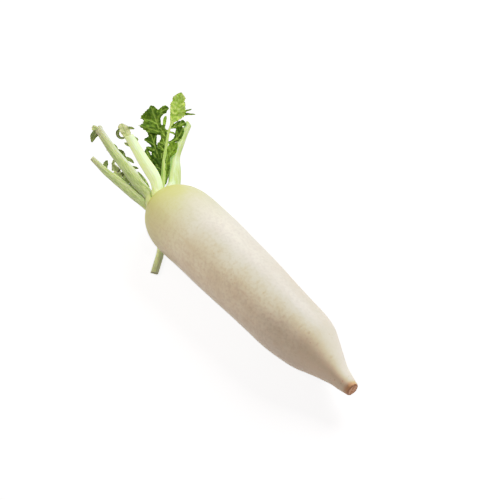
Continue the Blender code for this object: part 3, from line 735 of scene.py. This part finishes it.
def side_root_slits(s, around, radius):
    """Slits left by side roots: their depth, with a raised lip, and where their scar shows."""
    draw = random.Random(SLIT_SEED)
    depth, scar = np.zeros_like(s), np.zeros_like(s)
    for row in SLIT_ROWS:
        at = SLIT_FROM + draw.uniform(*SLIT_FIRST)
        while at < SLIT_TO:
            middle = math.radians(row + draw.gauss(0, SLIT_SWAY))
            long, wide, deep = [draw.uniform(*span) for span in (SLIT_REACH, SLIT_WIDTH, SLIT_DEPTH)]
            across = np.angle(np.exp(1j * (around - middle))) * radius
            far = (across / long) ** 2 + ((s - at) / wide) ** 2
            lip = SLIT_LIP * np.exp(-((np.sqrt(far) - SLIT_LIP_AT) / SLIT_LIP_BREADTH) ** 2)
            depth += deep * (np.exp(-far) - lip)
            scar += SLIT_SCAR * np.exp(-far / SLIT_SCAR_SPREAD)
            at += draw.uniform(*SLIT_GAP)
    return depth, np.minimum(scar, 1)


def root_rings():
    """The root's rings, from crown to tip, as distances from the crown and radii."""
    crown = [(-CROWN_DOME * (1 - (k / CROWN_RINGS) ** 2), CROWN_RADIUS * k / CROWN_RINGS)
             for k in range(1, CROWN_RINGS)]
    flat = TIP_RADIUS - TIP_BEVEL
    tip = [(ROOT_LENGTH + TIP_BEVEL * BEVEL_RING[0], TIP_RADIUS - TIP_BEVEL * BEVEL_RING[1])]
    tip += [(ROOT_LENGTH + TIP_BEVEL, flat * (1 - k / TIP_RINGS)) for k in range(TIP_RINGS)]
    return np.array([*crown, *smooth_curve(ROOT_RADII, ROOT_RINGS), *tip])


def flesh_relief(wall, s, around, radius):
    """How far the skin stands out over the body, and where its scars show."""
    lift = sum(height * rough(wall, size, seed=3.7) for size, height in UNEVEN)
    slits, scar = side_root_slits(s, around, np.maximum(radius, 1))
    lift -= growth_creases(s, around) + slits
    on_body = smoothstep(*RELIEF_STARTS, s) * smoothstep(*RELIEF_ENDS, s)
    return lift * on_body, scar * on_body


def crown_relief(wall, around, radius, on_crown):
    """Low broken rings around the stalks, where older leaves fell, and shade painted between them."""
    wobble = SCAR_RING_WOBBLE * rough(wall, SCAR_RING_WOBBLE_SIZE, seed=9.1)
    rings = np.sin(radius * (2 * math.pi * SCAR_RINGS / CROWN_RADIUS) + wobble)
    broken = SCAR_RING_EVENNESS + (1 - SCAR_RING_EVENNESS) * np.sin(SCAR_RING_BREAKS * around + 1)
    shade = SCAR_RING_PAINTED_SHADE * on_crown * smoothstep(0.35, 0.95, -rings)
    return SCAR_RING_HEIGHT * on_crown * rings * broken, shade


def make_root(skin, cut):
    """The root: domed crown with leaf scars, uneven flesh, creases and slits, and the cut tip."""
    rings = root_rings()
    turn = np.linspace(0, 2 * math.pi, ROOT_STEPS, endpoint=False)
    s, around = np.meshgrid(rings[:, 0], turn, indexing="ij")
    radius = np.repeat(rings[:, 1:2], ROOT_STEPS, axis=1)
    grown = 1 + OUT_OF_ROUND * np.minimum(2 * np.maximum(s, 0) / ROOT_LENGTH, 1) * np.sin(
        2 * around + s / OUT_OF_ROUND_WAVE)
    wall = np.stack([s, radius * np.cos(around), radius * np.sin(around)], axis=-1)
    lift, scar = flesh_relief(wall, s, around, radius)
    on_crown = smoothstep(CROWN_EDGE, 0, s) * smoothstep(*CROWN_MIDDLE, radius)
    ring_lift, painted_ring_shade = crown_relief(wall, around, radius, on_crown)
    # The tip's face is rough, and its rim is torn a little and dried dark.
    face = smoothstep(ROOT_LENGTH, ROOT_LENGTH + TIP_BEVEL, s)
    s = s + TIP_RELIEF * face * rough(wall, TIP_RELIEF_SIZE, seed=1.3)
    tear = TIP_TEAR * smoothstep(ROOT_LENGTH - TIP_TEAR_OVER, ROOT_LENGTH, s)
    lift = lift + ring_lift + tear * rough(wall, TIP_TEAR_SIZE, seed=6.2)
    rim = face * smoothstep(TIP_RADIUS - DARK_RIM[0], TIP_RADIUS - DARK_RIM[1], radius)
    # The scar mark also carries the shade painted in the hollows of the crown's rings.
    scar = np.maximum(np.maximum(scar, painted_ring_shade), rim)
    slope = np.gradient(rings[:, 1]) / np.maximum(np.hypot(*np.gradient(rings, axis=0).T), 1e-9)
    outward = np.sqrt(np.maximum(1 - slope ** 2, 0))[:, None]
    radius = radius * grown + lift * np.maximum(outward, 0.3)
    s = s - lift * slope[:, None] * on_crown
    points = centre_line(s) + np.stack([np.zeros_like(s), radius * np.cos(around),
                                        radius * np.sin(around)], axis=-1)
    points[..., 2] = np.maximum(points[..., 2], 0)
    ends = centre_line([-CROWN_DOME, ROOT_LENGTH + TIP_BEVEL])
    faces, kinds = root_faces(len(rings))
    marks = {"scar": np.append(scar.ravel(), [0.0, 0.0])}
    return make_piece("radish_root", [*points.reshape(-1, 3), *ends], faces, [skin, cut], marks, kinds)


def root_faces(count):
    """The faces of the root's count rings and two end points, and which of them are cut flesh."""
    faces, kinds = [], []
    for i in range(count - 1):
        faces += join_rings(i * ROOT_STEPS, (i + 1) * ROOT_STEPS, ROOT_STEPS)
        kinds += [int(i >= count - TIP_RINGS - 1)] * ROOT_STEPS
    last, crown_end = (count - 1) * ROOT_STEPS, count * ROOT_STEPS
    for j in range(ROOT_STEPS):
        k = (j + 1) % ROOT_STEPS
        faces += [(k, j, crown_end), (last + j, last + k, crown_end + 1)]
        kinds += [0, 1]
    return faces, kinds


def stalk_frames(spec, stations):
    """A stalk's middle line and, at each station of it, its direction, broad side and back."""
    outward = np.array([-1.0, 0, 0])
    clock = math.radians(spec["clock"])
    from_middle = np.array([0, math.cos(clock), math.sin(clock)])
    side = np.array([0, -math.sin(clock), math.cos(clock)])
    base = centre_line(0) + from_middle * spec["ring"] + outward * CROWN_GAP
    lead = base + outward * STRAIGHT_START
    centres = smooth_curve([base, lead, *spec["route"]], stations)
    headings = [unit(step) for step in np.gradient(centres, axis=0)]
    headings[0] = outward
    sides, backs = [], []
    for i, heading in enumerate(headings):
        side = unit(side - heading * (side @ heading))
        turn = math.radians(spec["turn"]) * min(i / (stations - 1) / TURN_DONE_AT, 1)
        across = np.cross(heading, side)
        sides.append(side * math.cos(turn) + across * math.sin(turn))
        backs.append(across * math.cos(turn) - side * math.sin(turn))
    outside = 1 if backs[0] @ from_middle > 0 else -1
    return centres, np.array(headings), np.array(sides), np.array(backs) * outside


def stalk_section():
    """A stalk's cross-section at width and thickness one: ribbed back, and a channel in front."""
    angle = np.linspace(0, 2 * math.pi, STALK_SIDES, endpoint=False)
    rise = np.sin(angle)
    front = (1 - BACK_SHARE) * (CHANNEL * rise ** CHANNEL_SHARPNESS - np.abs(rise) ** FRONT_ROUNDNESS)
    depth = np.where(rise < 0, front, BACK_SHARE * rise)
    ribs = 1 + RIB_HEIGHT * np.cos(RIBS * angle) * smoothstep(*RIBS_FADE, rise)
    return np.cos(angle) / 2 * ribs, depth * ribs


def stalk_wall(spec, seed, slant):
    """The rings of a stalk's wall, the grain at each of their points, and the last heading."""
    centres, headings, sides, backs = stalk_frames(spec, STALK_STATIONS)
    t = np.linspace(0, 1, STALK_STATIONS)
    swell = 1 + FLARE * smoothstep(FLARE_OVER, 0, t)
    widths = spread(spec["width"], STALK_STATIONS) * swell
    thicks = spread(spec["thick"], STALK_STATIONS) * swell
    across, depth = stalk_section()
    run = np.append(0, np.cumsum(np.linalg.norm(np.diff(centres, axis=0), axis=1)))
    x = widths[:, None] * across
    y = thicks[:, None] * depth
    length_way = np.repeat(run[:, None] / STRAND_STRETCH, STALK_SIDES, axis=1)
    grain = np.stack([x, y, length_way], axis=-1)
    uneven = 1 + STALK_UNEVEN * rough(grain * STALK_BUMPS, 1.0, seed)
    x, y = x * uneven, y * uneven
    centres = centres + np.array([SUNK, 0, 0]) * smoothstep(FLARE_OVER, 0, t)[:, None]
    points = centres[:, None] + x[..., None] * sides[:, None] + y[..., None] * backs[:, None]
    end = smoothstep(SLANT_FROM, 1, t)[:, None, None]
    points = points + slant * end * x[..., None] * headings[:, None]
    return points, grain, headings[-1]


def make_stalk(name, spec, materials, seed, slant, dry):
    """One leaf stalk, from its foot sunk in the crown to its cut end."""
    points, grain, heading = stalk_wall(spec, seed, slant)
    vertices, grains = list(points.reshape(-1, 3)), list(grain.reshape(-1, 3))
    faces = []
    for i in range(STALK_STATIONS - 1):
        faces += join_rings(i * STALK_SIDES, (i + 1) * STALK_SIDES, STALK_SIDES)
    kinds = [0] * len(faces)
    # The cut end is dished, with a narrow raised rim.
    outer = len(vertices) - STALK_SIDES
    middle = points[-1].mean(axis=0)
    for share, dish in CUT_RINGS:
        inner = len(vertices)
        vertices += list(middle + (points[-1] - middle) * share + heading * dish)
        grains += list(grain[-1] * (share, share, 1))
        faces += join_rings(outer, inner, STALK_SIDES)
        outer = inner
    faces += [tuple(range(outer, outer + STALK_SIDES)), tuple(range(STALK_SIDES - 1, -1, -1))]
    kinds += [1] * (len(faces) - len(kinds))
    grains = np.array(grains)
    at = grains[:, 2] / grains[-1, 2]
    marks = {"grain": grains, "foot": smoothstep(FOOT_TO, 0, at), "dry": dry * smoothstep(DRY_FROM, 1, at)}
    return make_piece(name, vertices, faces, materials, marks, kinds)


def tooth_veins(t, v, widths):
    """How near a place is to the veins that run from a lobe's middle to the tips of its teeth."""
    cells = len(widths) - 1
    near = np.zeros_like(v)
    for k in range(1, cells):
        if widths[k] > widths[k - 1] and widths[k] >= widths[k + 1]:
            reach = min(VEIN_REACH, k) / cells
            gap = t - k / cells + reach * (1 - np.abs(v) ** VEIN_CURVE)
            strength = 1 - SIDE_VEIN_FADE * np.abs(v)
            near = np.maximum(near, np.exp(-(gap * cells / VEIN_SPREAD) ** 2) * strength)
    return near


def half_widths(t, v, widths_by_side, notch_at):
    """Half a blade's width on each side of its middle, with its torn margin and its notches."""
    cells = len(widths_by_side[0]) - 1
    notch = 1 + NOTCHES * math.sin(notch_at)
    margin = MARGIN * math.sin(math.pi * t) ** 0.5
    on_left, on_right = [(np.interp(t * cells, range(cells + 1), widths) + margin) * notch
                         for widths in widths_by_side]
    return np.where(v > 0, on_left, on_right)


def blade_veins(t, v, half, widths_by_side):
    """How much of a vein each place in a row of a blade is, from 0 to 1."""
    middle = np.exp(-(v * half / MID_VEIN) ** 2) * (1 - MID_VEIN_FADE * t)
    on_left, on_right = [tooth_veins(t, v, widths) for widths in widths_by_side]
    teeth = np.where(v > 0, on_left, on_right)
    return np.maximum(middle, SIDE_VEINS * teeth * np.minimum(half / SIDE_VEINS_FULL, 1))


def blade_rise(t, v, half, vein, along, phase, crumple):
    """How far each place in a row of a blade stands out: cupped, waved, ruffled and crumpled."""
    out = np.abs(v)
    wave = np.sin(2 * np.pi * (t * WAVES_PER_LOBE + WAVE_SHIFT * (v > 0)))
    ruffle = np.sin(along * RUFFLE_RATE + phase * np.sign(v))
    rise = half * (CUPPING * v * v * t + WAVING * out * wave + RUFFLE * v ** 2 * ruffle)
    swell = (1 - vein) * np.sin(np.pi * np.minimum(out * SWELL_SPREAD, 1))
    bumps = [noise.noise(Vector((across, along / CRUMPLE_SCALE, crumple)))
             for across in v * half / CRUMPLE_SCALE]
    return rise - VEIN_SINK * vein + SWELL * swell + CRUMPLE * np.array(bumps)


def lobe_sheet(place, heading, face, shape, seed):
    """One toothed blade as rows of places on its upper and lower face, with its marks."""
    length, bend, lift, *widths_by_side = shape
    draw = random.Random(seed)
    rows = (len(widths_by_side[0]) - 1) * ROWS_PER_CELL
    phase, crumple = draw.uniform(0, 6), draw.uniform(0, 50)
    v = np.linspace(-1, 1, BLADE_COLUMNS + 1)
    upper, lower, veins, grain = [], [], [], []
    for i in range(rows + 1):
        t = i / rows
        along = t * length
        half = half_widths(t, v, widths_by_side, along * NOTCH_RATE + phase)
        vein = blade_veins(t, v, half, widths_by_side)
        rise = blade_rise(t, v, half, vein, along, phase, crumple)
        left = np.cross(face, heading)
        sweep = np.abs(v) * half * TOOTH_SWEEP
        point = (place + left * (half * v)[:, None] + heading * sweep[:, None]
                 + face * rise[:, None])
        thick = face * (BLADE_HALF * (1 - EDGE_THINNING * v ** 2) * (1 - TIP_THINNING * t))[:, None]
        upper.append(point + thick)
        lower.append(point - thick)
        veins.append(vein)
        grain.append(np.stack([v * half, np.full_like(v, along), np.full_like(v, crumple)], axis=-1))
        turn, rise_by = math.radians(bend) / rows, math.radians(lift) / rows
        heading = heading * math.cos(turn) + left * math.sin(turn)
        heading, face = (heading * math.cos(rise_by) + face * math.sin(rise_by),
                         face * math.cos(rise_by) - heading * math.sin(rise_by))
        place = place + heading * length / rows
    return np.array(upper), np.array(lower), np.array(veins), np.array(grain)


def sheet_faces(rows, columns, first):
    """The faces of a closed blade of rows by columns, upper side first, from a first vertex."""
    under = rows * columns
    faces = []
    for i in range(rows - 1):
        for j in range(columns - 1):
            a = i * columns + j
            quad = (a, a + 1, a + columns + 1, a + columns)
            faces += [quad[::-1], tuple(under + k for k in quad)]
    last = (rows - 1) * columns
    rim = [*range(columns), *range(2 * columns - 1, last, columns),
           *range(last + columns - 1, last, -1), *range(last, 0, -columns)]
    faces += [(a, b, under + b, under + a) for a, b in zip(rim, rim[1:] + rim[:1])]
    return [tuple(first + k for k in face) for face in faces]


def make_lobes(name, spec, lobes, material, tints_with_painted_light, seed):
    """All the lobes of a leaf, or all the scraps on a stalk, in one piece."""
    centres, headings, _, _ = stalk_frames(spec, PLACING_STATIONS)
    vertices, faces, veins, grains, tint_with_painted_light = [], [], [], [], []
    for number, (along, aside, angle, *shape) in enumerate(lobes):
        place = along * (PLACING_STATIONS - 1)
        i = min(int(place), PLACING_STATIONS - 2)
        start = centres[i] + (centres[i + 1] - centres[i]) * (place - i)
        face = np.array(LEAF_FACE)
        face = unit(face - headings[i] * (face @ headings[i]))
        left = np.cross(face, headings[i])
        turn = math.radians(angle)
        heading = headings[i] * math.cos(turn) + left * math.sin(turn)
        upper, lower, vein, grain = lobe_sheet(start + left * aside, heading, face, shape, seed + number)
        rows, columns = vein.shape
        faces += sheet_faces(rows, columns, len(vertices))
        vertices += [*upper.reshape(-1, 3), *lower.reshape(-1, 3)]
        veins += [*vein.ravel(), *vein.ravel()]
        grains += [*grain.reshape(-1, 3), *grain.reshape(-1, 3)]
        tint_with_painted_light += [tints_with_painted_light[number]] * (2 * rows * columns)
    marks = {"vein": veins, "grain": np.array(grains), "tint_with_painted_light": tint_with_painted_light}
    return make_piece(name, vertices, faces, [material], marks)


def camera():
    """The camera at the photograph's angle."""
    a, e = math.radians(CAMERA_AZIMUTH), math.radians(CAMERA_ELEVATION)
    right = Vector((math.cos(a), math.sin(a), 0))
    back = Vector((math.sin(a) * math.cos(e), -math.cos(a) * math.cos(e), math.sin(e)))
    data = bpy.data.cameras.new("camera")
    data.lens = LENS
    eye = bpy.data.objects.new("camera", data)
    turn = Matrix((right, back.cross(right), back)).transposed()
    eye.matrix_world = Matrix.Translation(CAMERA_PLACE) @ turn.to_4x4()
    bpy.context.scene.collection.objects.link(eye)
    bpy.context.scene.camera = eye


def add_light(name, kind, place, aim, colour, **settings):
    """A soft light at its place that shines towards its aim."""
    data = bpy.data.lights.new(name, kind)
    data.color = srgb(colour)[:3]
    for setting, value in settings.items():
        setattr(data, setting, value)
    light = bpy.data.objects.new(name, data)
    light.location = place
    light.rotation_mode = "QUATERNION"
    light.rotation_quaternion = (Vector(place) - Vector(aim)).to_track_quat("Z", "Y")
    bpy.context.scene.collection.objects.link(light)


def develop():
    """Rolls the bright tones off gently, as a print does, so that only the table turns white."""
    view = bpy.context.scene.view_settings
    view.view_transform = "Standard"
    view.use_curve_mapping = True
    mapping = view.curve_mapping
    mapping.white_level = (WHITE_AT, WHITE_AT, WHITE_AT)
    curve = mapping.curves[ALL_COLOURS_CURVE]
    for light, tone in HIGHLIGHT_TONES:
        curve.points.new(light / WHITE_AT, tone)
    mapping.update()


def studio():
    """A light table, its glow kept off the radish, under the lights and a weak warm fill."""
    mesh = bpy.data.meshes.new("table")
    corners = [(-1, -1), (1, -1), (1, 1), (-1, 1)]
    mesh.from_pydata([(x * TABLE_HALF, y * TABLE_HALF, 0) for x, y in corners], [], [(0, 1, 2, 3)])
    mesh.materials.append(light_table())
    table = bpy.data.objects.new("table", mesh)
    table.visible_diffuse = False
    bpy.context.scene.collection.objects.link(table)
    world = bpy.data.worlds.new("studio")
    world.use_nodes = True
    fill_inputs(world.node_tree, world.node_tree.nodes["Background"],
                {"Color": srgb(FILL_COLOUR), "Strength": FILL})
    bpy.context.scene.world = world
    develop()
    for name, spec in LIGHTS.items():
        add_light(name, **spec)


def main():
    root = make_root(daikon_skin(), tip_cut())
    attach(root, BODY)
    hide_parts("root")
    cut = petiole_cut()
    # leafstalk_1 and leafstalk_2 share this darker skin, which paints the shade on them.
    shaded_stalk_skin = petiole_skin("petiole_skin", "#ACC184", "#90A660", "#B9C884")
    skins = {
        # leafstalk_3, pale of its own, and leafstalk_5 get lighter skins that paint the light on them.
        "leafstalk_3": petiole_skin("pale_petiole_skin_painted_light", "#E4FFB8", "#D6FAA0", "#C8DE8C"),
        "leafstalk_4": petiole_skin("light_petiole_skin", "#C8E59C", "#AACE78", "#CCDE98"),
        "leafstalk_5": petiole_skin("low_petiole_skin_painted_light", "#E6F6C8", "#D0E6AC", "#D0DCA8"),
        "leaf": petiole_skin("midrib_skin", "#AAC670", "#8EAE52", "#98B068"),
    }
    blade = leaf_blade("leaf_blade", "#2F4B0A", "#86A63A", "#BDD880", "#95B14E")
    scrap = leaf_blade("wilted_scrap", "#434D26", "#7C8C54", "#C0CB9A", "#8F9E68")
    for number, (node, spec) in enumerate(STALKS.items()):
        leafy = node == "leaf"
        slant, dry = CUTS[node]
        stalk = make_stalk(node + "_rib" if leafy else node + "_skin", spec,
                           [skins.get(node, shaded_stalk_skin), cut], STALK_SEED * number, slant, dry)
        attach(stalk, BODY)
        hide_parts(node)
        if node in LOBES:
            lobes = make_lobes(node + ("_blades" if leafy else "_scraps"), spec, LOBES[node],
                               blade if leafy else scrap, TINTS_WITH_PAINTED_LIGHT[node], LOBE_SEED * number)
            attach(lobes, BODY)
            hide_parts(node)
    camera()
    studio()


main()
